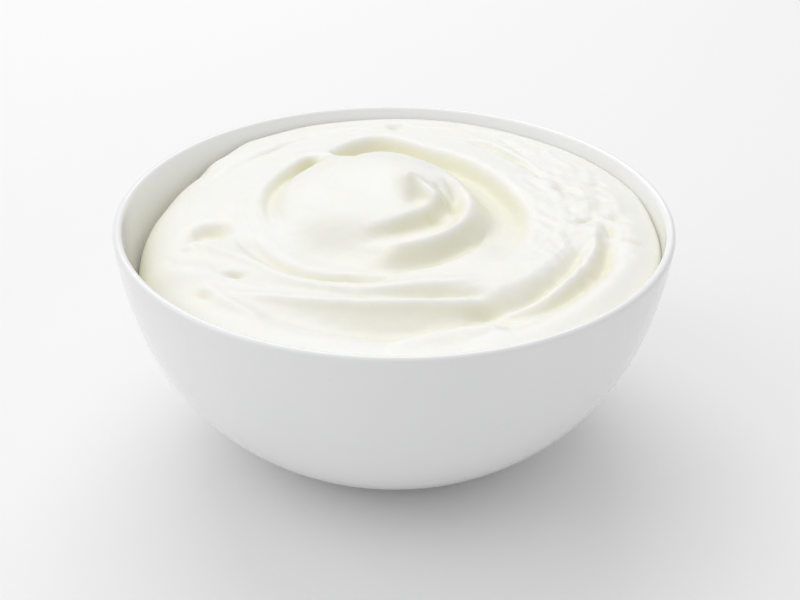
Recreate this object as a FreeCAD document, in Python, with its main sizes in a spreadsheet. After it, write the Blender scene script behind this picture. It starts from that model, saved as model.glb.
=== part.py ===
import FreeCAD, Part
import math
import os
import Sketcher

# A round ceramic bowl filled with swirled yogurt.
# Frame: +Z up, origin at the centre of the foot ring's underside, sizes in millimetres.

doc = FreeCAD.newDocument("YogurtBowl")
V = FreeCAD.Vector

# ---------------------------------------------------------------- driving sizes

SIZES = {
    # the bowl's outside
    "bowl_diameter": 150.0,
    "bowl_height": 68.0,
    "upper_radius": 115.7,      # arc of the wall from the lip down
    "wall_lean": 4.7,           # degrees the wall leans in just under the lip
    "turn_angle": 16.4,         # degrees from upright where the rounder lower arc begins
    "foot_radius": 30.0,
    "foot_height": 0.8,
    # the wall and the floor
    "wall": 2.4,
    "floor_top": 5.0,
    "floor_corner": 8.0,
    "foot_width": 3.5,
    "foot_recess": 1.6,
    "foot_edge": 0.4,
    # the yogurt
    "fill_gap": 0.05,           # between the yogurt and the glaze
    "fill_drop": 3.2,           # of the fill under the swirl's middle, below the lip
    "swirl_reach": 72.6,        # mouth radius that the swirl below was drawn for
    "relief": 1.0,              # how deep the swirl is
    "headroom": 14.0,           # of the cutting shapes above the lip
    "surface_pitch": 2.5,       # between the points of the yogurt's top surface
}

sheet = doc.addObject("Spreadsheet::Sheet", "Sizes")
for row, (alias, value) in enumerate(SIZES.items(), start=1):
    sheet.set("A%d" % row, alias)
    sheet.set("B%d" % row, str(value))
    sheet.setAlias("B%d" % row, alias)
doc.recompute()


def size(alias):
    """The number in the sheet's cell of that name."""
    return float(getattr(sheet, alias))


# ---------------------------------------------------------------- sketch helpers

START, END, CENTRE = 1, 2, 3    # a sketch curve's points
ORIGIN = (-1, 1)                # the sketch's origin, as a curve and its point
TILES = 8                       # the yogurt's surface is cut into this many rows of faces


def new_body(label):
    body = doc.addObject("PartDesign::Body", label)
    body.Label = label
    return body


def upright_sketch(body, name):
    """A sketch on the body's own XZ plane: its x is the radius, its y the height."""
    plane = [f for f in body.Origin.OriginFeatures if f.Role == "XZ_Plane"][0]
    sketch = body.newObject("Sketcher::SketchObject", name)
    sketch.AttachmentSupport = [(plane, "")]
    sketch.MapMode = "FlatFace"
    return sketch


def bind(sketch, name, constraint, formula):
    """Add a dimension to a sketch and tie it to the sheet."""
    index = sketch.addConstraint(constraint)
    sketch.renameConstraint(index, name)
    sketch.setExpression("Constraints." + name, formula)


def place(sketch, name, geometry, point, across=None, up=None):
    """Tie how far a sketch point lies across and up from the origin to the sheet."""
    drawn = sketch.getPoint(geometry, point)
    if across is not None:
        held = Sketcher.Constraint("DistanceX", *ORIGIN, geometry, point, drawn.x)
        bind(sketch, name + "_x", held, across)
    if up is not None:
        held = Sketcher.Constraint("DistanceY", *ORIGIN, geometry, point, drawn.y)
        bind(sketch, name + "_y", held, up)


def arc(centre, radius, low, high):
    """An anticlockwise arc between two angles in radians."""
    circle = Part.Circle(V(centre[0], centre[1], 0), V(0, 0, 1), radius)
    return Part.ArcOfCircle(circle, low, high)


def line(a, b):
    return Part.LineSegment(V(a[0], a[1], 0), V(b[0], b[1], 0))


def join(sketch, *pairs):
    for (g1, p1), (g2, p2) in pairs:
        sketch.addConstraint(Sketcher.Constraint("Coincident", g1, p1, g2, p2))


# ---------------------------------------------------------------- the wall's line

class WallLine:
    """The two tangent arcs of the wall, worked out from the sheet."""

    def __init__(self):
        self.lean = math.radians(size("wall_lean"))
        self.turn = math.radians(size("turn_angle"))
        self.upper = size("upper_radius")
        self.lip = size("wall") / 2
        self.lip_centre = (size("bowl_diameter") / 2 - self.lip, size("bowl_height") - self.lip)
        arm = self.upper - self.lip
        self.centre = (self.lip_centre[0] - arm * math.cos(self.lean),
                       self.lip_centre[1] + arm * math.sin(self.lean))
        top = (self.centre[0] + self.upper * math.cos(self.turn),
               self.centre[1] - self.upper * math.sin(self.turn))
        foot = (size("foot_radius"), size("foot_height"))
        chord = (top[0] - foot[0], top[1] - foot[1])
        bend = math.atan2(chord[0], chord[1]) - self.turn
        self.lower = math.hypot(*chord) / (2 * math.sin(bend))
        self.lower_centre = (top[0] - self.lower * math.cos(self.turn),
                             top[1] + self.lower * math.sin(self.turn))
        self.lower_end = self.turn + 2 * bend

    def radius_at(self, height, inset):
        """Radius of the wall, moved inwards by inset, at a height above the foot."""
        joint = self.centre[1] - (self.upper - inset) * math.sin(self.turn)
        centre, radius = self.centre, self.upper - inset
        if height < joint:
            centre, radius = self.lower_centre, self.lower - inset
        rise = min(abs(height - centre[1]), radius)
        return centre[0] + math.sqrt(radius * radius - rise * rise)


wall_line = WallLine()


def add_wall_arcs(sketch, construction):
    """The outside of the wall: the upper arc and the lower one down to the foot."""
    w = wall_line
    upper = sketch.addGeometry(arc(w.centre, w.upper, -w.turn, -w.lean), construction)
    lower = sketch.addGeometry(arc(w.lower_centre, w.lower, -w.lower_end, -w.turn), construction)
    sketch.addConstraint(Sketcher.Constraint("Tangent", upper, START, lower, END))
    bind(sketch, "upper_radius", Sketcher.Constraint("Radius", upper, w.upper), "Sizes.upper_radius")
    arm = "(Sizes.upper_radius - Sizes.wall / 2)"
    place(sketch, "upper_centre", upper, CENTRE,
          "Sizes.bowl_diameter / 2 - Sizes.wall / 2 - %s * cos(Sizes.wall_lean * 1deg)" % arm,
          "Sizes.bowl_height - Sizes.wall / 2 + %s * sin(Sizes.wall_lean * 1deg)" % arm)
    reach = w.upper * math.cos(w.turn)
    bind(sketch, "turn", Sketcher.Constraint("DistanceX", upper, CENTRE, upper, START, reach),
         "Sizes.upper_radius * cos(Sizes.turn_angle * 1deg)")
    place(sketch, "foot_top", lower, START, "Sizes.foot_radius", "Sizes.foot_height")
    return upper, lower


def add_inner_arcs(sketch, upper, lower, inset, floor, floor_formula):
    """The inside of the wall: the same two arcs moved inwards, down to the floor."""
    w = wall_line
    floor_rise = w.lower_centre[1] - floor
    floor_end = math.asin(floor_rise / (w.lower - inset))
    inner_upper = sketch.addGeometry(arc(w.centre, w.upper - inset, -w.turn, -w.lean), False)
    inner_lower = sketch.addGeometry(arc(w.lower_centre, w.lower - inset, -floor_end, -w.turn), False)
    join(sketch, ((inner_upper, CENTRE), (upper, CENTRE)), ((inner_lower, CENTRE), (lower, CENTRE)))
    sketch.addConstraint(Sketcher.Constraint("Tangent", inner_upper, START, inner_lower, END))
    place(sketch, "floor_edge", inner_lower, START, up=floor_formula)
    return inner_upper, inner_lower


def revolve(body, sketch):
    turned = body.newObject("PartDesign::Revolution", body.Label + "_turned")
    turned.Profile = sketch
    turned.ReferenceAxis = (sketch, ["V_Axis"])
    turned.Angle = 360.0
    doc.recompute()
    return turned


def round_circles(body, base, name, places, formula, radius):
    """Round the circular edges of base that lie at the given (radius, height) places."""
    names = []
    for index, edge in enumerate(base.Shape.Edges, start=1):
        if not isinstance(edge.Curve, Part.Circle):
            continue
        spot = (edge.Curve.Radius, edge.Curve.Center.z)
        if any(math.hypot(spot[0] - p[0], spot[1] - p[1]) < 0.01 for p in places):
            names.append("Edge%d" % index)
    fillet = body.newObject("PartDesign::Fillet", name)
    fillet.Base = (base, names)
    fillet.Radius = radius
    fillet.setExpression("Radius", formula)
    doc.recompute()
    return fillet


# ---------------------------------------------------------------- the bowl

def make_bowl():
    """A thin wall of even thickness on a low foot ring, turned from one profile."""
    body = new_body("bowl")
    sketch = upright_sketch(body, "bowl_profile")
    w = wall_line
    wall, floor = size("wall"), size("floor_top")
    ring_in, recess = size("foot_radius") - size("foot_width"), size("foot_recess")
    upper, lower = add_wall_arcs(sketch, False)
    inner_upper, inner_lower = add_inner_arcs(sketch, upper, lower, wall, floor, "Sizes.floor_top")
    lip = sketch.addGeometry(arc(w.lip_centre, w.lip, -w.lean, math.pi - w.lean), False)
    sketch.addConstraint(Sketcher.Constraint("Tangent", lip, START, upper, END))
    sketch.addConstraint(Sketcher.Constraint("Tangent", lip, END, inner_upper, END))
    place(sketch, "lip", lip, CENTRE,
          "Sizes.bowl_diameter / 2 - Sizes.wall / 2", "Sizes.bowl_height - Sizes.wall / 2")

    floor_radius = w.radius_at(floor, wall)
    foot = (size("foot_radius"), size("foot_height"))
    corners = [(floor_radius, floor), (0, floor), (0, recess), (ring_in, recess),
               (ring_in, 0), (foot[0], 0), foot]
    lines = [sketch.addGeometry(line(a, b), False) for a, b in zip(corners, corners[1:])]
    inside, axis, under, ring_inside, tread, ring_outside = lines
    join(sketch, ((inside, START), (inner_lower, START)), ((ring_outside, END), (lower, START)))
    join(sketch, *[((a, END), (b, START)) for a, b in zip(lines, lines[1:])])
    for flat in (inside, under, tread):
        sketch.addConstraint(Sketcher.Constraint("Horizontal", flat))
    for upright in (axis, ring_inside, ring_outside):
        sketch.addConstraint(Sketcher.Constraint("Vertical", upright))
    sketch.addConstraint(Sketcher.Constraint("PointOnObject", axis, START, -2))
    place(sketch, "recess", under, START, up="Sizes.foot_recess")
    place(sketch, "ring", tread, START, across="Sizes.foot_radius - Sizes.foot_width")
    sketch.addConstraint(Sketcher.Constraint("PointOnObject", tread, START, -1))

    turned = revolve(body, sketch)
    corner = round_circles(body, turned, "floor_rounding", [(floor_radius, floor)],
                           "Sizes.floor_corner", size("floor_corner"))
    body.Tip = round_circles(body, corner, "foot_rounding", [(foot[0], 0), (ring_in, 0)],
                             "Sizes.foot_edge", size("foot_edge"))
    return body


def make_cavity():
    """The space that the yogurt can take: the bowl's inside, carried up past the lip."""
    body = new_body("cavity")
    sketch = upright_sketch(body, "cavity_profile")
    w = wall_line
    inset = size("wall") + size("fill_gap")
    floor = size("floor_top") + size("fill_gap")
    brim = size("bowl_height") - size("wall") / 2
    ceiling = size("bowl_height") + size("headroom")
    upper, lower = add_wall_arcs(sketch, True)
    inner_upper, inner_lower = add_inner_arcs(
        sketch, upper, lower, inset, floor, "Sizes.floor_top + Sizes.fill_gap")
    bind(sketch, "inner_radius", Sketcher.Constraint("Radius", inner_upper, w.upper - inset),
         "Sizes.upper_radius - Sizes.wall - Sizes.fill_gap")
    place(sketch, "brim", inner_upper, END, up="Sizes.bowl_height - Sizes.wall / 2")
    place(sketch, "outside_end", upper, END, up="Sizes.bowl_height - Sizes.wall / 2")

    mouth, floor_radius = w.radius_at(brim, inset), w.radius_at(floor, inset)
    corners = [(mouth, brim), (mouth, ceiling), (0, ceiling), (0, floor), (floor_radius, floor)]
    lines = [sketch.addGeometry(line(a, b), False) for a, b in zip(corners, corners[1:])]
    side, top, axis, bottom = lines
    join(sketch, ((side, START), (inner_upper, END)), ((bottom, END), (inner_lower, START)))
    join(sketch, *[((a, END), (b, START)) for a, b in zip(lines, lines[1:])])
    for flat in (top, bottom):
        sketch.addConstraint(Sketcher.Constraint("Horizontal", flat))
    for upright in (side, axis):
        sketch.addConstraint(Sketcher.Constraint("Vertical", upright))
    sketch.addConstraint(Sketcher.Constraint("PointOnObject", axis, START, -2))
    place(sketch, "ceiling", top, START, up="Sizes.bowl_height + Sizes.headroom")

    turned = revolve(body, sketch)
    body.Tip = round_circles(body, turned, "cavity_rounding", [(floor_radius, floor)],
                             "Sizes.floor_corner - Sizes.fill_gap",
                             size("floor_corner") - size("fill_gap"))
    return body


# ---------------------------------------------------------------- the yogurt's swirl

# Azimuths are in degrees about +Z, 0 at +X and 90 at +Y. Heights are measured from the lip.
# EDGE is where the yogurt meets the wall, LEVEL how high it stands just inside that edge, INNER
# how high round the swirl. SHOULDER is the radius where it starts to roll down to the wall.
EDGE = [(0, -10.0), (20, -6.2), (45, -5.2), (80, -3.8), (110, -4.6), (128, -6.0), (140, -10.0),
        (150, -15.0), (168, -18.0), (190, -19.0), (215, -14.0), (240, -10.0), (270, -9.0),
        (300, -8.5), (335, -9.0)]
LEVEL = [(0, -2.4), (60, -2.5), (100, -2.4), (150, -2.4), (190, -2.8), (230, -4.5), (270, -6.5),
         (300, -6.0), (330, -3.5)]
INNER = [(0, -2.2), (60, -1.4), (100, -0.8), (150, -1.9), (190, -2.6), (230, -3.6), (270, -4.0),
         (320, -3.0)]
SHOULDER = [(0, 58), (45, 60), (90, 60), (125, 56), (155, 47), (185, 48), (220, 54), (270, 56), (320, 57)]

# The spoon's strokes run round the swirl's own centre between two azimuths, through evenly
# spaced radii and rises. A stroke is a ridge where its rise is positive, else a furrow. It has
# one half-width towards the centre and one away from it, and fades out at both ends.
SWIRL_CENTRE = (2.0, 8.0)
STROKES = [
    # azimuths, radii, rises, half-widths, fades, sharpness
    ((119, -42), (36.0, 41.0, 37.0, 32.5, 30.0, 29.5, 31.0, 33.0, 35.0),
     (-5.5, -6.0, -5.5, -5.2, -5.2, -5.2, -4.6, -3.4, -1.5), (6.5, 6.0), (2, 12), 3.2),
    ((70, -36), (39.5, 35.5, 34.5, 36.5, 39.5), (0.2, 0.7, 0.9, 0.7, 0.2), (2.0, 8.0), (14, 14), 2.0),
    ((-48, -158), (29.5, 36.5, 42.0, 46.0, 49.5), (-2.6, -2.6, -2.2, -1.6, -0.8), (3.0, 2.8), (14, 14), 2.2),
    ((205, 133), (32.0, 33.5, 34.0), (-1.0, -2.2, -3.4), (3.6, 2.4), (18, 3), 2.4),
    ((45, -96), (17.0, 22.0, 28.0), (1.4, 2.2, 1.8), (2.2, 4.0), (10, 6), 1.8),
    ((25, -120), (17.5, 16.8, 15.5), (-1.8, -2.8, -1.4), (2.4, 3.2), (9, 12), 2.2),
    ((-98, -66), (48.0, 45.5, 49.0), (0.5, 0.9, 0.8), (5.0, 1.6), (10, 4), 1.8),
    ((-98, -64), (49.9, 47.4, 50.9), (-0.5, -0.9, -0.9), (1.5, 1.8), (8, 4), 2.0),
    ((236, 292), (63.0, 55.5, 54.5), (0.3, 1.3, 1.4), (5.0, 2.2), (16, 5), 1.8),
    ((240, 292), (64.5, 59.0, 56.0), (-0.3, -1.4, -2.0), (3.0, 5.0), (18, 6), 2.2),
    ((270, 296), (67.5, 62.0, 64.5), (1.2, 3.2, 2.4), (2.6, 5.0), (4, 4), 1.8),
    ((-26, -74), (48.0, 52.0, 50.5), (0.6, 1.4, 0.8), (8.0, 2.6), (14, 10), 1.8),
    ((-30, -70), (54.5, 57.4, 54.8), (-1.4, -2.2, -2.2), (2.4, 1.8), (7, 6), 2.0),
    ((-22, -52), (56.5, 60.0, 61.2), (1.4, 1.8, 1.0), (2.0, 2.0), (10, 6), 1.6),
    ((-22, -66), (61.0, 63.0, 57.5), (-1.2, -2.2, -1.6), (2.6, 2.4), (8, 8), 2.0),
    ((-14, -75), (63.0, 67.8, 70.5), (0.6, 1.0, 1.2), (3.0, 4.0), (8, 10), 2.0),
]

# Single lumps and dents: place, half-widths, rise, turn in degrees, sharpness.
LUMPS = [
    ((-5.0, 10.5), (25.0, 25.5), 4.5, 0, 5.0),      # the mound in the middle
    ((4.4, 11.6), (3.0, 3.6), 4.2, 0, 1.4),         # the peak drawn up by the spoon
    ((9.5, 6.6), (6.5, 2.4), 2.0, -35, 1.7),        # its crest curling down to the right
    ((-48.0, -5.4), (5.0, 3.8), -3.0, 20, 2.6),     # dent on the left
    ((2.6, 64.2), (3.0, 2.4), -1.6, 0, 2.5),        # small dent at the back
    ((-22.2, 33.4), (4.6, 3.0), -3.4, 50, 2.5),     # hole where the trough starts
]


def ease(t):
    """0 to 1 with level ends."""
    t = min(max(t, 0.0), 1.0)
    return t * t * (3 - 2 * t)


def round_trip(azimuth, stations):
    """A value that eases from station to station round the bowl."""
    closed = stations + [(stations[0][0] + 360, stations[0][1])]
    azimuth %= 360
    for (a, low), (b, high) in zip(closed, closed[1:]):
        if a <= azimuth <= b:
            return low + (high - low) * ease((azimuth - a) / (b - a))


def along(values, t):
    """A smooth run through evenly spaced values, for t from 0 to 1."""
    last = len(values) - 1
    v = (2 * values[0] - values[1],) + values + (2 * values[-1] - values[-2],)
    k = min(int(t * last), last - 1)
    f = t * last - k
    a, b, c, d = v[k:k + 4]
    return b + 0.5 * f * (c - a + f * (2 * a - 5 * b + 4 * c - d + f * (3 * (b - c) + d - a)))


def heap(x, y):
    """The yogurt without its swirl: nearly level, rolling down to the wall at its edge."""
    radius = math.hypot(x, y)
    azimuth = math.degrees(math.atan2(y, x))
    edge, level, inner, start = [round_trip(azimuth, s) for s in (EDGE, LEVEL, INNER, SHOULDER)]
    wall_radius = wall_line.radius_at(size("bowl_height") + edge, size("wall")) * drawn_scale
    middle = -size("fill_drop")
    top = middle + (inner - middle) * ease(radius / 25.0) + (level - inner) * ease((radius - 34.0) / 22.0)
    roll = min(max((radius - start) / (wall_radius - start), 0.0), 1.0)
    return top + (edge - top) * (1 - math.sqrt(1 - roll ** 2.4) ** 0.9)


def stroke(x, y, turn, radii, rises, width, fade, power):
    """The rise of one stroke of the spoon at a place."""
    across, back = x - SWIRL_CENTRE[0], y - SWIRL_CENTRE[1]
    radius, azimuth = math.hypot(across, back), math.degrees(math.atan2(back, across))
    sweep = abs(turn[1] - turn[0])
    lead = (360 - sweep) / 2
    way = 1 if turn[1] > turn[0] else -1
    run = ((azimuth - turn[0]) * way + lead) % 360 - lead
    t = min(max(run / sweep, 0.0), 1.0)
    path = along(radii, t)
    off = radius - path
    side = width[1] if off > 0 else width[0]
    done, length = math.radians(run) * path, math.radians(sweep) * path
    ends = ease(done / fade[0] + 0.5) * ease((length - done) / fade[1] + 0.5)
    return along(rises, t) * math.exp(-abs(off / side) ** power) * ends


def lump(x, y, place_at, halves, rise, turn, power):
    """The rise of one lump or dent at a place."""
    c, s = math.cos(math.radians(turn)), math.sin(math.radians(turn))
    across, back = x - place_at[0], y - place_at[1]
    u, v = (across * c + back * s) / halves[0], (back * c - across * s) / halves[1]
    return rise * math.exp(-(u * u + v * v) ** (power / 2))


# The swirl is drawn for swirl_reach and spreads with the bowl's real mouth.
drawn_scale = size("swirl_reach") / wall_line.radius_at(size("bowl_height") - size("wall") / 2, size("wall"))


def yogurt_height(x, y):
    """Height of the yogurt's surface above the foot."""
    x, y = x * drawn_scale, y * drawn_scale
    swirl = sum(stroke(x, y, *s) for s in STROKES) + sum(lump(x, y, *s) for s in LUMPS)
    return size("bowl_height") + heap(x, y) + size("relief") * swirl


def surface_tiles(half):
    """The yogurt's surface over a square, cut into a grid of smaller smooth faces."""
    per_tile = int(math.ceil(2 * half / size("surface_pitch") / TILES))
    count = per_tile * TILES
    steps = [-half + 2 * half * k / count for k in range(count + 1)]
    surface = Part.BSplineSurface()
    surface.interpolate([[V(x, y, yogurt_height(x, y)) for y in steps] for x in steps])
    u_low, u_high, v_low, v_high = surface.bounds()
    tiles = []
    for i in range(TILES):
        for j in range(TILES):
            tile = surface.copy()
            tile.segment(u_low + (u_high - u_low) * i / TILES, u_low + (u_high - u_low) * (i + 1) / TILES,
                         v_low + (v_high - v_low) * j / TILES, v_low + (v_high - v_low) * (j + 1) / TILES)
            tiles.append(tile.toShape())
    return tiles


def make_relief():
    """A block whose top is the yogurt's surface, wider and deeper than the bowl's inside."""
    half = size("bowl_diameter") / 2 + size("wall")
    down = V(0, 0, -size("bowl_height") - size("headroom"))
    top = surface_tiles(half)
    bottom = [tile.translated(down) for tile in top]
    skirt = []
    for edge in [edge for tile in top for edge in tile.Edges]:
        ends = [vertex.Point for vertex in edge.Vertexes]
        if any(all(abs(abs(end[axis]) - half) < 1e-6 for end in ends)
               and ends[0][axis] * ends[1][axis] > 0 for axis in (0, 1)):
            skirt.append(edge.extrude(down))
    shell = Part.makeShell(top + bottom + skirt)
    shell.sewShape()
    block = Part.Solid(shell)
    if block.Volume < 0:
        block.reverse()
    relief = doc.addObject("Part::Feature", "relief")
    relief.Label = "relief"
    relief.Shape = block
    return relief


def make_yogurt(cavity):
    """The bowl's contents up to the swirled surface."""
    yogurt = doc.addObject("Part::Common", "yogurt")
    yogurt.Label = "yogurt"
    yogurt.Base = make_relief()
    yogurt.Tool = cavity
    doc.recompute()
    return yogurt


# ---------------------------------------------------------------- build, check, write

bowl = make_bowl()
yogurt = make_yogurt(make_cavity())
doc.recompute()

for item in doc.Objects:
    if "Invalid" in item.State or "Error" in item.State:
        raise RuntimeError("%s failed: %s" % (item.Label, item.State))

os.makedirs("parts", exist_ok=True)
for node in (bowl, yogurt):
    shape = node.Shape
    if shape.isNull() or not shape.isValid() or len(shape.Solids) != 1:
        raise RuntimeError("%s is not one sound solid" % node.Label)
    shape.exportStep("parts/%s.step" % node.Label)
    print(node.Label, "volume", round(shape.Volume / 1000, 2), "cm3", shape.BoundBox)
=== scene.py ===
import math

import bpy
import numpy as np
from mathutils import Matrix, Vector


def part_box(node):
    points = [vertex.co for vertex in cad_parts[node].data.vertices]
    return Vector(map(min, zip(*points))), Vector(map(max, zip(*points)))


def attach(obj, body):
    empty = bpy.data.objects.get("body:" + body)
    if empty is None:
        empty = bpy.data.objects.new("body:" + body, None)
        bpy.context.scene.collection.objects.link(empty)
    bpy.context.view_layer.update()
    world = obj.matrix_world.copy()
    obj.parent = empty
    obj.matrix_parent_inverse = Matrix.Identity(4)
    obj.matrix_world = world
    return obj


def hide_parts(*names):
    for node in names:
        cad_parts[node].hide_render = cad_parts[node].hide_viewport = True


# A white ceramic bowl of swirled yogurt. Metres and +Z up, in the frame of the CAD model:
# the origin is the centre of the foot ring's underside. The swirl is drawn in millimetres.

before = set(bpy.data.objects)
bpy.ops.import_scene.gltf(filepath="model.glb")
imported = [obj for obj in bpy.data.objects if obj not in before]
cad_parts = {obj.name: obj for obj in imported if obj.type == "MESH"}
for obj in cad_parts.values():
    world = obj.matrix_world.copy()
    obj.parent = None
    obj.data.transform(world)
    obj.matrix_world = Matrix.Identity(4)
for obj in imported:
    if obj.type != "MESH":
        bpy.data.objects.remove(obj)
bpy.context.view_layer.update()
MM = 0.001

# ---------------------------------------------------------------- sizes

bowl_low, bowl_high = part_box("bowl")
RIM_TOP = bowl_high.z
BOWL_RADIUS = (bowl_high.x - bowl_low.x) / 2
WALL = 2.4 * MM
UPPER_RADIUS = 115.7 * MM        # arc of the wall from the lip down
WALL_LEAN = math.radians(4.7)    # the wall leans in this much just under the lip
TURN_ANGLE = math.radians(16.4)  # from upright, where the rounder lower arc begins
FOOT_RADIUS = 30.0 * MM
FOOT_HEIGHT = 0.8 * MM
FOOT_WIDTH = 3.5 * MM
FOOT_RECESS = 1.6 * MM
FOOT_EDGE = 0.4 * MM
FLOOR_TOP = 5.0 * MM
FLOOR_CORNER = 8.0 * MM
BITE = 0.3 * MM                  # how far the yogurt reaches into the wall, so no gap shows
MOUTH_DRAWN = 72.6               # mouth radius that the swirl is drawn for


# ---------------------------------------------------------------- the wall's line

class WallLine:
    """The two tangent arcs of the wall, as radius and height in metres."""

    def __init__(self):
        self.lip = WALL / 2
        self.lip_centre = (BOWL_RADIUS - self.lip, RIM_TOP - self.lip)
        arm = UPPER_RADIUS - self.lip
        self.centre = (self.lip_centre[0] - arm * math.cos(WALL_LEAN),
                       self.lip_centre[1] + arm * math.sin(WALL_LEAN))
        top = (self.centre[0] + UPPER_RADIUS * math.cos(TURN_ANGLE),
               self.centre[1] - UPPER_RADIUS * math.sin(TURN_ANGLE))
        chord = (top[0] - FOOT_RADIUS, top[1] - FOOT_HEIGHT)
        bend = math.atan2(chord[0], chord[1]) - TURN_ANGLE
        self.lower = math.hypot(*chord) / (2 * math.sin(bend))
        self.lower_centre = (top[0] - self.lower * math.cos(TURN_ANGLE),
                             top[1] + self.lower * math.sin(TURN_ANGLE))
        self.lower_end = TURN_ANGLE + 2 * bend

    def radius_at(self, height, inset):
        """Radius of the wall, moved inwards by inset, at heights above the foot."""
        joint = self.centre[1] - (UPPER_RADIUS - inset) * math.sin(TURN_ANGLE)
        upper = self.centre[0] + np.sqrt(
            np.maximum((UPPER_RADIUS - inset) ** 2 - (height - self.centre[1]) ** 2, 0))
        lower = self.lower_centre[0] + np.sqrt(
            np.maximum((self.lower - inset) ** 2 - (height - self.lower_centre[1]) ** 2, 0))
        return np.where(height > joint, upper, lower)


wall_line = WallLine()


def arc_points(centre, radius, start, end, count):
    """Points on an arc, angles in radians anticlockwise from the outward direction."""
    return [(centre[0] + radius * math.cos(start + (end - start) * k / count),
             centre[1] + radius * math.sin(start + (end - start) * k / count))
            for k in range(count + 1)]


def rounded(centre, radius, start, end):
    """A small quarter round, its angles in degrees."""
    return arc_points(centre, radius, math.radians(start), math.radians(end), EDGE_STEPS)


# how many steps each stretch of the bowl's section is drawn in
FLOOR_STEPS = 6
CORNER_STEPS = 10
INNER_LOWER_STEPS = 28
UPPER_STEPS = 16
LIP_STEPS = 14
OUTER_LOWER_STEPS = 36
EDGE_STEPS = 5
BOWL_STEPS_AROUND = 288


def bowl_profile():
    """The bowl's section from the middle of its floor over the lip to the middle underneath."""
    w = wall_line
    arm = w.lower - WALL - FLOOR_CORNER
    inner_low = math.asin((w.lower_centre[1] - FLOOR_TOP - FLOOR_CORNER) / arm)
    corner = (w.lower_centre[0] + arm * math.cos(inner_low), FLOOR_TOP + FLOOR_CORNER)
    points = [(corner[0] * k / FLOOR_STEPS, FLOOR_TOP) for k in range(FLOOR_STEPS)]
    points += arc_points(corner, FLOOR_CORNER, -math.pi / 2, -inner_low, CORNER_STEPS)
    points += arc_points(w.lower_centre, w.lower - WALL, -inner_low, -TURN_ANGLE, INNER_LOWER_STEPS)[1:]
    points += arc_points(w.centre, UPPER_RADIUS - WALL, -TURN_ANGLE, -WALL_LEAN, UPPER_STEPS)[1:]
    points += arc_points(w.lip_centre, w.lip, math.pi - WALL_LEAN, -WALL_LEAN, LIP_STEPS)[1:]
    points += arc_points(w.centre, UPPER_RADIUS, -WALL_LEAN, -TURN_ANGLE, UPPER_STEPS)[1:]
    points += arc_points(w.lower_centre, w.lower, -TURN_ANGLE, -w.lower_end, OUTER_LOWER_STEPS)[1:]
    edge = FOOT_EDGE
    inner = FOOT_RADIUS - FOOT_WIDTH
    points += rounded((FOOT_RADIUS - edge, edge), edge, 0, -90)
    points += rounded((inner + edge, edge), edge, -90, -180)
    points += rounded((inner - edge, FOOT_RECESS - edge), edge, 0, 90)
    points += [((inner - edge) * k / EDGE_STEPS, FOOT_RECESS) for k in range(EDGE_STEPS - 1, -1, -1)]
    return points


def new_object(name, vertices, faces):
    mesh = bpy.data.meshes.new(name)
    mesh.from_pydata(vertices, [], faces)
    mesh.update()
    mesh.shade_smooth()
    piece = bpy.data.objects.new(name, mesh)
    bpy.context.scene.collection.objects.link(piece)
    return piece


def turned(name, profile, around):
    """A solid of revolution whose profile starts and ends on the axis."""
    ring_points = profile[1:-1]
    angles = np.linspace(0, 2 * math.pi, around, endpoint=False)
    vertices = [(0, 0, profile[0][1]), (0, 0, profile[-1][1])]
    for radius, height in ring_points:
        vertices += [(radius * math.cos(a), radius * math.sin(a), height) for a in angles]
    faces = []
    last = 2 + (len(ring_points) - 1) * around
    for k in range(around):
        n = (k + 1) % around
        faces.append((0, 2 + k, 2 + n))
        faces.append((1, last + n, last + k))
        for ring in range(len(ring_points) - 1):
            a, b = 2 + ring * around, 2 + (ring + 1) * around
            faces.append((a + k, b + k, b + n, a + n))
    return new_object(name, vertices, faces)


# ---------------------------------------------------------------- the swirl, in millimetres

# heights above the rim at azimuths round the bowl, counted from the right anticlockwise:
# where the yogurt meets the wall, round the outside of its top, and round the swirl inside that
EDGE = [(0, -8.0), (20, -5.8), (45, -5.2), (80, -3.8), (110, -4.6), (128, -6.0), (140, -10.0),
        (150, -15.0), (168, -18.0), (190, -19.0), (215, -14.0), (240, -10.0), (270, -9.0),
        (300, -8.0), (335, -7.8)]
LEVEL = [(0, -2.4), (60, -2.5), (100, -2.4), (150, -2.4), (190, -2.8), (230, -4.5), (270, -6.5),
         (300, -6.0), (330, -3.5)]
INNER = [(0, -2.2), (60, -1.4), (100, -0.8), (150, -1.9), (190, -2.6), (230, -3.6), (270, -4.0),
         (320, -3.0)]
MIDDLE = -3.2
# radius where the heap starts to roll down to the wall
SHOULDER = [(0, 58), (45, 60), (90, 60), (125, 56), (155, 47), (185, 48), (220, 54), (270, 56), (320, 57)]
SWIRL_CENTRE = (2.0, 8.0)
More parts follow.
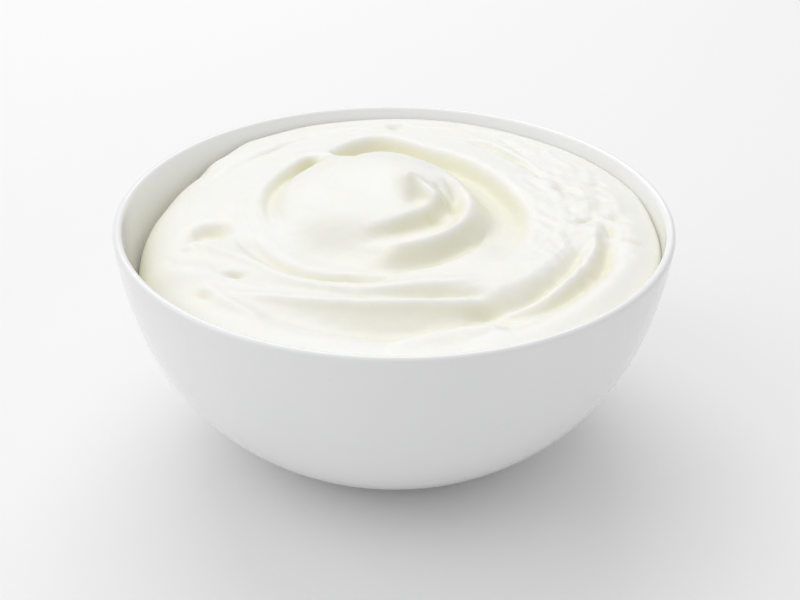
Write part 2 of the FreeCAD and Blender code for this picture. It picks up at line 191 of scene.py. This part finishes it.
# each stroke of the spoon: its first and last azimuth about the swirl's centre, radii and rises at
# even steps along it, inner and outer half-width, lengths of the fades at its two ends, and how
# sharp it is
STROKES = [
    ((121, -47), (36.0, 42.5, 34.5, 30.6, 27.8, 27.2, 29.3, 32.0, 34.8),
     (-4.9, -5.8, -5.3, -5.0, -4.8, -4.6, -4.0, -2.6, -1.0), (6.5, 4.6), (2, 14), 3.2),
    ((200, 131), (36.0, 36.6, 37.6, 39.0), (-0.6, -1.8, -2.8, -4.0), (3.0, 2.0), (18, 3), 2.2),
    ((44, -98), (18.0, 18.0, 18.8, 21.5, 24.4, 26.4), (0.6, 1.0, 1.6, 2.6, 3.2, 3.0),
     (2.0, 3.0), (10, 6), 1.8),
    ((30, -118), (14.3, 14.2, 13.5, 15.0, 21.5), (-0.8, -2.2, -3.4, -3.2, -0.8), (2.6, 3.6), (9, 8), 2.2),
    ((-16, -110), (25.5, 27.5, 30.5, 33.0), (-1.2, -1.8, -1.9, -0.8), (2.6, 2.8), (12, 10), 2.0),
    ((-92, -156), (36.0, 39.6, 43.8, 45.6, 46.6), (-1.9, -2.7, -2.6, -2.0, -0.9),
     (2.8, 2.4), (8, 12), 2.2),
    ((-158, -66), (57.0, 49.5, 48.0, 45.0, 42.2, 44.5), (0.4, 0.9, 0.7, 0.6, 1.2, 0.6),
     (2.6, 1.8), (10, 8), 1.8),
    ((-140, -66), (57.0, 53.0, 49.8, 47.8, 46.4, 46.9, 50.0), (-0.8, -0.6, -0.4, -0.6, -1.0, -1.7, -1.4),
     (2.0, 1.8), (4, 9), 2.0),
    ((-136, -68), (64.0, 55.8, 51.8, 50.6, 52.4), (0.3, 1.0, 1.5, 1.6, 0.8), (1.8, 1.8), (10, 8), 1.8),
    ((-124, -66), (63.0, 60.6, 59.2, 57.4), (-0.9, -2.2, -3.0, -2.8), (5.4, 4.6), (12, 9), 2.2),
    ((-92, -68), (65.0, 62.3, 61.8, 64.4), (0.9, 2.4, 2.6, 1.4), (3.6, 3.0), (5, 5), 1.7),
    ((-26, -76), (48.0, 50.0, 50.0), (0.5, 1.1, 0.6), (8.0, 2.6), (14, 10), 1.8),
    ((-29, -71), (53.0, 55.0, 56.0, 55.0), (-1.1, -1.7, -2.0, -1.5), (2.4, 1.4), (5, 9), 2.0),
    ((-16, -54), (53.8, 56.4, 57.8, 59.2), (1.0, 1.4, 1.2, 0.5), (1.8, 1.8), (8, 5), 1.7),
    ((-20, -66), (57.6, 60.8, 61.6, 61.0, 58.6), (-1.4, -2.2, -2.4, -2.4, -1.6), (2.6, 2.2), (5, 9), 2.0),
    ((-14, -75), (64.0, 67.5, 68.5), (0.5, 0.9, 0.8), (3.0, 4.0), (8, 10), 2.0),
    ((64, 25), (49.3, 46.3, 44.4), (-0.8, -1.0, -0.6), (1.4, 1.2), (5, 3), 2.0),
    ((152, 118), (54.6, 53.6, 54.8), (-0.7, -1.0, -0.3), (1.6, 1.3), (6, 8), 2.0),
]
# finer marks, which the CAD model leaves out
FINE_STROKES = [
    ((56, 44), (54.8, 50.8), (-0.6, -0.6), (1.2, 1.0), (4, 4), 2.0),
    ((62, 30), (51.8, 48.4, 46.4), (0.4, 0.5, 0.3), (1.0, 1.0), (5, 5), 2.0),
    ((164, 150), (57.4, 54.8), (-0.45, -0.45), (1.3, 1.0), (4, 4), 2.0),
    ((-139, -121), (65.5, 66.0, 66.0), (0.5, 0.9, 0.5), (2.0, 1.8), (4, 4), 2.0),
    ((28, -24), (10.4, 11.6, 15.2), (-0.9, -1.0, -0.9), (0.9, 1.1), (3, 3), 2.0),
    ((34, 0), (14.6, 14.6), (-0.5, -0.5), (0.7, 0.8), (3, 3), 2.0),
    ((-30, -76), (26.0, 29.4, 31.6), (-0.3, -0.4, -0.3), (0.8, 0.8), (4, 4), 2.0),
    ((20, -30), (43.0, 44.5, 46.0), (0.25, 0.3, 0.2), (2.2, 2.0), (10, 10), 2.0),
    ((110, 70), (57.0, 56.0, 57.0), (0.2, 0.25, 0.2), (1.6, 1.6), (10, 10), 2.0),
    ((-46, -76), (63.5, 64.5, 66.5), (-0.4, -0.5, -0.3), (1.4, 1.4), (6, 6), 2.0),
]
# each lump or dent: place, half-widths, rise, turn and sharpness
LUMPS = [
    ((-5.0, 10.5), (25.0, 25.5), 4.5, 0, 5.0),
    ((3.4, 11.2), (3.0, 3.8), 3.9, 0, 1.4),
    ((9.6, 6.6), (7.5, 2.0), 2.2, -54, 1.8),
    ((-48.9, -7.8), (5.2, 3.8), -3.0, 12, 2.8),
    ((1.0, 63.4), (3.2, 2.2), -1.8, 0, 2.5),
    ((-24.5, 36.0), (4.4, 2.8), -2.6, 50, 2.5),
    ((-52.0, -28.5), (8.5, 4.5), 1.2, -15, 2.2),
    ((-15.5, -17.5), (13.0, 9.5), -2.4, -22, 2.2),
]
FINE_LUMPS = [
    ((5.6, 4.6), (2.8, 3.8), -1.3, -25, 2.0),
    ((9.4, -1.2), (2.6, 1.4), -0.9, -30, 2.0),
    ((51.4, -1.0), (3.0, 1.3), -1.2, 22, 2.0),
    ((57.2, -5.8), (1.5, 3.8), -1.4, 8, 2.0),
    ((52.0, -6.5), (4.4, 3.8), 0.8, 0, 2.4),
    ((47.8, 18.6), (2.8, 1.4), -1.0, -35, 2.0),
    ((46.2, 9.6), (1.3, 1.2), -0.5, 0, 2.0),
    ((57.6, 22.4), (2.2, 1.2), -0.9, -10, 2.0),
    ((57.3, 12.2), (1.6, 1.0), -0.7, -30, 2.0),
    ((60.0, 1.0), (2.4, 1.3), -1.0, -38, 2.0),
    ((64.4, -12.4), (3.2, 1.1), -1.1, -22, 2.0),
    ((60.6, -20.0), (1.2, 0.8), -0.4, 0, 2.0),
    ((52.0, 9.0), (3.4, 4.6), 0.8, 0, 2.2),
    ((53.0, 17.6), (3.0, 2.4), 0.5, -30, 2.2),
    ((61.5, 8.0), (2.6, 3.6), 0.5, 10, 2.2),
    ((62.5, -4.6), (3.0, 2.6), 0.5, 0, 2.2),
    ((44.0, 22.5), (3.4, 1.8), 0.4, -40, 2.2),
    ((-57.0, -21.4), (2.2, 1.0), -0.5, -40, 2.0),
    ((-54.7, -16.9), (2.2, 1.0), -0.4, -20, 2.0),
    ((-40.1, -29.4), (2.6, 1.1), -0.8, 0, 2.2),
    ((-46.9, -39.2), (2.6, 1.6), -0.8, -20, 2.0),
    ((-52.0, -20.5), (9.0, 4.5), -0.7, -20, 2.2),
    ((-53.6, -11.4), (2.6, 2.0), -0.7, 40, 2.0),
    ((-44.0, 10.0), (5.0, 9.0), 0.35, 10, 2.2),
    ((-26.5, 29.6), (2.0, 2.6), -0.8, -20, 2.0),
    ((-12.0, -56.0), (9.0, 3.0), 0.4, 5, 2.2),
    ((14.0, -58.5), (5.0, 2.0), -0.4, 0, 2.0),
    ((-18.0, 60.5), (7.0, 1.6), 0.25, 12, 2.0),
    ((24.0, 60.0), (6.0, 1.4), -0.3, -18, 2.0),
]


# ---------------------------------------------------------------- the swirl's height, in millimetres

MIDDLE_END = 25          # radius where the level of the bowl's middle ends
INNER_END = 34           # radius where the swirl's own level ends
OUTER_START = 56         # radius where the level round the outside begins
ROLL_BEND = 2.4          # how square the roll's shoulder is
ROLL_DROP = 0.9          # how steeply the roll meets the wall
LINE_RISE = 0.035        # of the lines that the spoon's edge left
LUMP_RISE = 0.05         # of the skin's small lumps everywhere
LUMP_RISE_RIGHT = 0.13   # and how much more they rise at the right


def ease(t):
    """0 to 1 with level ends."""
    t = np.clip(t, 0, 1)
    return t * t * (3 - 2 * t)


def round_trip(azimuth, stations):
    """A value that eases from station to station round the bowl."""
    closed = stations + [(stations[0][0] + 360, stations[0][1])]
    azimuth = azimuth % 360
    value = np.zeros_like(azimuth)
    for (a, low), (b, high) in zip(closed, closed[1:]):
        here = (azimuth >= a) & (azimuth <= b)
        value = np.where(here, low + (high - low) * ease((azimuth - a) / (b - a)), value)
    return value


def along(values, t):
    """A smooth run through evenly spaced values, for t from 0 to 1."""
    last = len(values) - 1
    ends = (2 * values[0] - values[1],), (2 * values[-1] - values[-2],)
    v = np.array(ends[0] + tuple(values) + ends[1])
    k = np.clip((t * last).astype(int), 0, last - 1)
    f = t * last - k
    a, b, c, d = v[k], v[k + 1], v[k + 2], v[k + 3]
    return b + 0.5 * f * (c - a + f * (2 * a - 5 * b + 4 * c - d + f * (3 * (b - c) + d - a)))


def heap(x, y):
    """The yogurt without its swirl: nearly level, rolling down to the wall at its edge."""
    radius, azimuth = np.hypot(x, y), np.degrees(np.arctan2(y, x))
    edge, level, inner = (round_trip(azimuth, stations) for stations in (EDGE, LEVEL, INNER))
    start = round_trip(azimuth, SHOULDER)
    wall_radius = wall_line.radius_at(RIM_TOP + edge * MM, WALL) / MM * DRAWN_SCALE
    outwards = ease((radius - INNER_END) / (OUTER_START - INNER_END))
    top = MIDDLE + (inner - MIDDLE) * ease(radius / MIDDLE_END) + (level - inner) * outwards
    roll = np.clip((radius - start) / (wall_radius - start), 0, 1)
    return top + (edge - top) * (1 - np.sqrt(1 - roll ** ROLL_BEND) ** ROLL_DROP)


def stroke(x, y, turn, radii, rises, width, fade, power):
    """The rise of one stroke of the spoon."""
    across, back = x - SWIRL_CENTRE[0], y - SWIRL_CENTRE[1]
    radius, azimuth = np.hypot(across, back), np.degrees(np.arctan2(back, across))
    sweep = abs(turn[1] - turn[0])
    lead = (360 - sweep) / 2
    way = 1 if turn[1] > turn[0] else -1
    run = ((azimuth - turn[0]) * way + lead) % 360 - lead
    t = np.clip(run / sweep, 0, 1)
    path = along(radii, t)
    off = radius - path
    side = np.where(off > 0, width[1], width[0])
    done, length = np.radians(run) * path, np.radians(sweep) * path
    ends = ease(done / fade[0] + 0.5) * ease((length - done) / fade[1] + 0.5)
    return along(rises, t) * np.exp(-np.abs(off / side) ** power) * ends


def lump(x, y, place, halves, rise, turn, power):
    """The rise of one lump or dent."""
    c, s = math.cos(math.radians(turn)), math.sin(math.radians(turn))
    across, back = x - place[0], y - place[1]
    u, v = (across * c + back * s) / halves[0], (back * c - across * s) / halves[1]
    return rise * np.exp(-(u * u + v * v) ** (power / 2))


def skin(x, y):
    """Faint uneven lines along the strokes, and small lumps, more of them at the right."""
    across, back = x - SWIRL_CENTRE[0], y - SWIRL_CENTRE[1]
    radius, azimuth = np.hypot(across, back), np.arctan2(back, across)
    wander = radius + 1.1 * np.sin(azimuth + 0.4) + 0.7 * np.sin(3 * azimuth + 0.05 * radius)
    lines = np.sin(2.1 * wander) + 0.7 * np.sin(3.4 * wander + 2 * azimuth) + 0.5 * np.sin(5.3 * wander + 1)
    patch = np.sin(2 * azimuth + 0.11 * radius) * np.sin(3 * azimuth - 0.17 * radius + 1.3)
    lumps = (np.sin(0.53 * x + 1.9 * np.sin(0.21 * y)) * np.sin(0.61 * y + 1.6 * np.sin(0.27 * x + 1)) +
             0.6 * np.sin(1.1 * x - 0.4 * y + 2 * np.sin(0.33 * y)) * np.sin(0.9 * y + 0.5 * x))
    right_side = ease((across - 22) / 24)
    rise = LINE_RISE * lines * ease(0.5 + patch) + (LUMP_RISE + LUMP_RISE_RIGHT * right_side) * lumps
    return rise * ease((radius - 12) / 12) * ease((66 - radius) / 8)


DRAWN_SCALE = MOUTH_DRAWN / (float(wall_line.radius_at(RIM_TOP - WALL / 2, WALL)) / MM)


def yogurt_height(x, y):
    """Height of the yogurt's surface in metres, at places in metres."""
    x, y = x / MM * DRAWN_SCALE, y / MM * DRAWN_SCALE
    rise = heap(x, y) + skin(x, y)
    for marks in (STROKES, FINE_STROKES):
        for mark in marks:
            rise = rise + stroke(x, y, *mark)
    for marks in (LUMPS, FINE_LUMPS):
        for mark in marks:
            rise = rise + lump(x, y, *mark)
    return RIM_TOP + rise * MM


# ---------------------------------------------------------------- the yogurt

SURFACE_CELLS = 280              # across the disc
BODY_RINGS = 12                  # between the surface's edge and the bowl's floor
RING_BUNCH = 1.6                 # how much closer together the rings lie near the floor
FLOOR_PULL = 0.6                 # of the floor's corner radius, by which the last ring is drawn in
# how the sky is looked for when the yogurt's painted shade is worked out
SKY_DIRECTIONS = 12
SKY_REACHES = (1.5, 3.0, 6.0, 11.0)   # in millimetres, how far the sky is looked for
HOLLOW_FULL = 0.25               # share of the sky lost in a full hollow


def make_yogurt():
    """The bowl's contents: a fine swirled surface on a body that follows the glaze."""
    cells = np.linspace(-1, 1, SURFACE_CELLS + 1)
    u, v = np.meshgrid(cells, cells, indexing="ij")
    across, back = u * np.sqrt(1 - v * v / 2), v * np.sqrt(1 - u * u / 2)
    spread, angle = np.hypot(across, back), np.arctan2(back, across)
    reach = wall_line.radius_at(RIM_TOP + round_trip(np.degrees(angle), EDGE) * MM, WALL) + BITE
    x, y = spread * reach * np.cos(angle), spread * reach * np.sin(angle)
    z = yogurt_height(x, y)
    count = SURFACE_CELLS + 1
    vertices = np.stack([x, y, z], -1).reshape(-1, 3)
    index = np.arange(count * count).reshape(count, count)
    faces = np.stack([index[:-1, :-1], index[1:, :-1], index[1:, 1:], index[:-1, 1:]], -1).reshape(-1, 4)
    rim = np.concatenate([index[:-1, 0], index[-1, :-1], index[:0:-1, -1], index[0, :0:-1]])

    edge = vertices[rim]
    azimuth = np.arctan2(edge[:, 1], edge[:, 0])
    rings = [rim]
    extra = []
    total = len(vertices)
    for ring in range(1, BODY_RINGS + 1):
        part = ring / BODY_RINGS
        upper = (1 - part) ** RING_BUNCH
        height = edge[:, 2] * upper + FLOOR_TOP * (1 - upper)
        radius = wall_line.radius_at(height, WALL) + BITE
        if ring == BODY_RINGS:
            radius = radius - FLOOR_CORNER * FLOOR_PULL
        extra.append(np.stack([radius * np.cos(azimuth), radius * np.sin(azimuth), height], -1))
        rings.append(np.arange(total, total + len(rim)))
        total += len(rim)
    side = []
    for a, b in zip(rings, rings[1:]):
        side.append(np.stack([a, b, np.roll(b, -1), np.roll(a, -1)], -1))
    vertices = np.concatenate([vertices] + extra)
    quads = np.concatenate([faces] + side)
    all_faces = quads.tolist()
    last = rings[-1].tolist()
    all_faces += [(total, last[(k + 1) % len(last)], last[k]) for k in range(len(last))]
    vertices = np.concatenate([vertices, [[0, 0, FLOOR_TOP]]])
    return new_object("yogurt_swirl", vertices.tolist(), all_faces)


def mark_painted_shade(piece):
    """Store how much of the sky each surface point loses to the yogurt round it, as the mask of the painted
    shade that darkens and yellows the yogurt's colour there.
    """
    count = (SURFACE_CELLS + 1) ** 2
    mesh = piece.data
    places = np.empty(len(mesh.vertices) * 3)
    mesh.vertices.foreach_get("co", places)
    x, y, z = places.reshape(-1, 3)[:count].T
    lost = np.zeros(count)
    for azimuth in np.radians(np.arange(0, 360, 360 / SKY_DIRECTIONS)):
        steepest = np.zeros(count)
        for reach in SKY_REACHES:
            far_x, far_y = x + reach * MM * np.cos(azimuth), y + reach * MM * np.sin(azimuth)
            steepest = np.maximum(steepest, (yogurt_height(far_x, far_y) - z) / (reach * MM))
        lost += steepest ** 2 / (1 + steepest ** 2) / SKY_DIRECTIONS
    painted_shade_mask = np.zeros(len(mesh.vertices))
    painted_shade_mask[:count] = np.clip(lost / HOLLOW_FULL, 0, 1)
    layer = mesh.attributes.new("painted_shade_mask", "FLOAT", "POINT")
    layer.data.foreach_set("value", painted_shade_mask)


def mark_painted_light(piece):
    """Store where the wall faces the bowl's axis; there the glaze colour is made lighter as painted light
    on the shaded inner wall.
    """
    painted_light_inside = piece.data.attributes.new("painted_light_inside", "FLOAT", "POINT")
    for vertex in piece.data.vertices:
        out = Vector((vertex.co.x, vertex.co.y, 0)).normalized()
        painted_light_inside.data[vertex.index].value = min(1.0, max(0.0, 0.5 - vertex.normal.dot(out)))


# ---------------------------------------------------------------- materials

YOGURT_LIGHT = (0.93, 0.93, 0.895)
YOGURT_SOFT = (0.92, 0.915, 0.865)
# painted shade: a darker, yellower colour laid into hollows and onto steep faces where the sky is hidden
YOGURT_PAINTED_SHADE = (0.86, 0.84, 0.66)
GLAZE_LIGHT = (0.91, 0.912, 0.912)
GLAZE_SOFT = (0.89, 0.893, 0.893)
# painted light: the inner wall's glaze is lighter than the outer's to lift its shade, though the real glaze
# is one colour
GLAZE_PAINTED_LIGHT = (0.96, 0.96, 0.96)
GLAZE_SPECK = (0.93, 0.92, 0.9)
BARE_CLAY = (0.78, 0.76, 0.72)
FLOOR_LIGHT = (0.93, 0.93, 0.93)
FLOOR_SOFT = (0.91, 0.91, 0.91)
WHITE = (1, 1, 1)


def node(tree, kind, **settings):
    made = tree.nodes.new(kind)
    for name, value in settings.items():
        setattr(made, name, value)
    return made


def new_material(name):
    """A material, its node tree, its shader and its object coordinates."""
    material = bpy.data.materials.new(name)
    material.use_nodes = True
    tree = material.node_tree
    shader = tree.nodes["Principled BSDF"]
    place = node(tree, "ShaderNodeTexCoord").outputs["Object"]
    return material, tree, shader, place


def noise(tree, place, scale, detail, roughness=0.5):
    made = node(tree, "ShaderNodeTexNoise")
    made.inputs["Scale"].default_value = scale
    made.inputs["Detail"].default_value = detail
    made.inputs["Roughness"].default_value = roughness
    tree.links.new(place, made.inputs["Vector"])
    return made.outputs["Fac"]


def ramp(tree, value, stops):
    made = node(tree, "ShaderNodeValToRGB")
    band = made.color_ramp
    while len(band.elements) < len(stops):
        band.elements.new(0.5)
    for element, (position, colour) in zip(band.elements, stops):
        element.position = position
        element.color = (*colour, 1)
    tree.links.new(value, made.inputs["Fac"])
    return made.outputs["Color"]


def remap(tree, value, low, high, new_low, new_high):
    made = node(tree, "ShaderNodeMapRange")
    for name, number in (("From Min", low), ("From Max", high), ("To Min", new_low), ("To Max", new_high)):
        made.inputs[name].default_value = number
    tree.links.new(value, made.inputs["Value"])
    return made.outputs["Result"]


def mix(tree, factor, first, second, blend="MIX"):
    made = node(tree, "ShaderNodeMix", data_type="RGBA", blend_type=blend)
    for socket, value in ((made.inputs[0], factor), (made.inputs[6], first), (made.inputs[7], second)):
        if hasattr(value, "links"):
            tree.links.new(value, socket)
        else:
            socket.default_value = value if isinstance(value, float) else (*value, 1)
    return made.outputs[2]


def bump(tree, height, distance, strength=1.0, below=None):
    made = node(tree, "ShaderNodeBump")
    made.inputs["Distance"].default_value = distance
    made.inputs["Strength"].default_value = strength
    tree.links.new(height, made.inputs["Height"])
    if below is not None:
        tree.links.new(below, made.inputs["Normal"])
    return made.outputs["Normal"]


def yogurt_material():
    """Thick set yogurt: soft, moist, very slightly grainy, with painted shade darkening and yellowing it in
    hollows and on steep faces.
    """
    material, tree, shader, place = new_material("yogurt_cream")
    painted_shade_mask = node(tree, "ShaderNodeAttribute", attribute_name="painted_shade_mask").outputs["Fac"]
    patch = noise(tree, place, 35, 3)
    base = mix(tree, remap(tree, patch, 0.35, 0.65, 0.0, 1.0), YOGURT_LIGHT, YOGURT_SOFT)
    # painted shade: the colour turns darker and yellower the more of the sky is hidden
    colour = mix(tree, remap(tree, painted_shade_mask, 0.05, 1.0, 0.0, 1.0), base, YOGURT_PAINTED_SHADE)
    tree.links.new(colour, shader.inputs["Base Color"])
    wet = noise(tree, place, 90, 4, 0.6)
    tree.links.new(remap(tree, wet, 0.3, 0.7, 0.34, 0.5), shader.inputs["Roughness"])
    shader.inputs["Subsurface Weight"].default_value = 0.25
    shader.inputs["Subsurface Radius"].default_value = (1.0, 0.8, 0.5)
    shader.inputs["Subsurface Scale"].default_value = 0.002
    shader.inputs["Specular IOR Level"].default_value = 0.4
    grain = noise(tree, place, 900, 3, 0.6)
    swell = noise(tree, place, 170, 3, 0.55)
    normal = bump(tree, swell, 0.00035, 0.5)
    tree.links.new(bump(tree, grain, 0.00004, 0.5, normal), shader.inputs["Normal"])
    return material


def glaze_material():
    """White glazed ceramic: the glaze a little uneven, made lighter on the inner wall as painted light, and
    the foot ring left bare.
    """
    material, tree, shader, place = new_material("white_glaze")
    patch = noise(tree, place, 22, 2)
    glaze = mix(tree, remap(tree, patch, 0.35, 0.65, 0.0, 1.0), GLAZE_LIGHT, GLAZE_SOFT)
    speck = ramp(tree, noise(tree, place, 1500, 1), [(0.0, WHITE), (0.74, WHITE), (0.8, GLAZE_SPECK)])
    glaze = mix(tree, 1.0, glaze, speck, "MULTIPLY")
    # painted light: the glaze turns lighter where the wall faces the bowl's axis
    painted_light_inside = node(tree, "ShaderNodeAttribute", attribute_name="painted_light_inside")
    glaze = mix(tree, painted_light_inside.outputs["Fac"], glaze, GLAZE_PAINTED_LIGHT)
    height = node(tree, "ShaderNodeSeparateXYZ")
    tree.links.new(place, height.inputs[0])
    bare = remap(tree, height.outputs["Z"], FOOT_EDGE * 0.6, FOOT_EDGE * 1.2, 1.0, 0.0)
    colour = mix(tree, bare, glaze, BARE_CLAY)
    tree.links.new(colour, shader.inputs["Base Color"])
    tree.links.new(remap(tree, bare, 0.0, 1.0, 0.16, 0.7), shader.inputs["Roughness"])
    shader.inputs["Specular IOR Level"].default_value = 0.5
    ripple = noise(tree, place, 45, 2)
    peel = noise(tree, place, 420, 2)
    normal = bump(tree, ripple, 0.0003, 0.35)
    tree.links.new(bump(tree, peel, 0.00002, 0.5, normal), shader.inputs["Normal"])
    return material


# ---------------------------------------------------------------- the pieces

yogurt = make_yogurt()
mark_painted_shade(yogurt)
yogurt.data.materials.append(yogurt_material())
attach(yogurt, "root")
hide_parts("yogurt")

bowl = turned("bowl_turned", bowl_profile(), BOWL_STEPS_AROUND)
mark_painted_light(bowl)
bowl.data.materials.append(glaze_material())
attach(bowl, "root")
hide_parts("bowl")

# ---------------------------------------------------------------- floor, light and camera

def floor_material():
    material, tree, shader, place = new_material("pale_floor")
    patch = noise(tree, place, 3, 2)
    colour = mix(tree, patch, FLOOR_LIGHT, FLOOR_SOFT)
    tree.links.new(colour, shader.inputs["Base Color"])
    shader.inputs["Roughness"].default_value = 0.9
    shader.inputs["Specular IOR Level"].default_value = 0.1
    return material


FLOOR_HALF = 6.0
floor_corners = [(-FLOOR_HALF, -FLOOR_HALF, 0), (FLOOR_HALF, -FLOOR_HALF, 0),
                 (FLOOR_HALF, FLOOR_HALF, 0), (-FLOOR_HALF, FLOOR_HALF, 0)]
floor = new_object("floor", floor_corners, [(0, 1, 2, 3)])
floor.data.materials.append(floor_material())


def soft_light(name, azimuth, elevation, distance, size, power):
    """A square area light aimed at the middle of the bowl's mouth."""
    target = Vector((0, 0, RIM_TOP))
    a, e = math.radians(azimuth), math.radians(elevation)
    towards = Vector((math.cos(a) * math.cos(e), math.sin(a) * math.cos(e), math.sin(e)))
    data = bpy.data.lights.new(name, "AREA")
    data.shape = "SQUARE"
    data.size = size
    data.energy = power
    lamp = bpy.data.objects.new(name, data)
    lamp.location = target + distance * towards
    lamp.rotation_mode = "QUATERNION"
    lamp.rotation_quaternion = towards.to_track_quat("Z", "Y")
    bpy.context.scene.collection.objects.link(lamp)


# azimuth and elevation in degrees, distance and size in metres, power in watts
soft_light("key_behind", 100, 52, 1.2, 1.0, 5.4)
soft_light("fill_left", 192, 40, 1.5, 1.2, 4.1)
soft_light("overhead", 0, 90, 1.4, 1.6, 2.4)
soft_light("fill_front", 265, 58, 1.6, 1.4, 1.5)

SURROUNDINGS = 0.52              # strength of the plain white surroundings
world = bpy.data.worlds.new("studio")
bpy.context.scene.world = world
world.use_nodes = True
world.node_tree.nodes["Background"].inputs["Color"].default_value = (*WHITE, 1)
world.node_tree.nodes["Background"].inputs["Strength"].default_value = SURROUNDINGS

# the camera's place, aim and roll were fitted to the bowl's rim and outline, and its lens was then
# made a little wider
CAMERA_PLACE = Vector((0.00006, -0.32956, 0.23090))
CAMERA_DOWN = math.radians(30.103)
CAMERA_TURN = math.radians(0.2916)
CAMERA_ROLL = math.radians(0.599)
CAMERA_LENS = 61.15
forward = Vector((math.sin(CAMERA_TURN) * math.cos(CAMERA_DOWN),
                  math.cos(CAMERA_TURN) * math.cos(CAMERA_DOWN), -math.sin(CAMERA_DOWN)))
level = forward.cross(Vector((0, 0, 1))).normalized()
upward = level.cross(forward)
right = math.cos(CAMERA_ROLL) * level + math.sin(CAMERA_ROLL) * upward
upright = math.cos(CAMERA_ROLL) * upward - math.sin(CAMERA_ROLL) * level
lens = bpy.data.cameras.new("camera")
lens.lens = CAMERA_LENS
lens.sensor_width = 36.0
camera = bpy.data.objects.new("camera", lens)
aim = Matrix((right, upright, -forward)).transposed().to_4x4()
camera.matrix_world = Matrix.Translation(CAMERA_PLACE) @ aim
bpy.context.scene.collection.objects.link(camera)
bpy.context.scene.camera = camera
bpy.context.scene.view_settings.view_transform = "Standard"
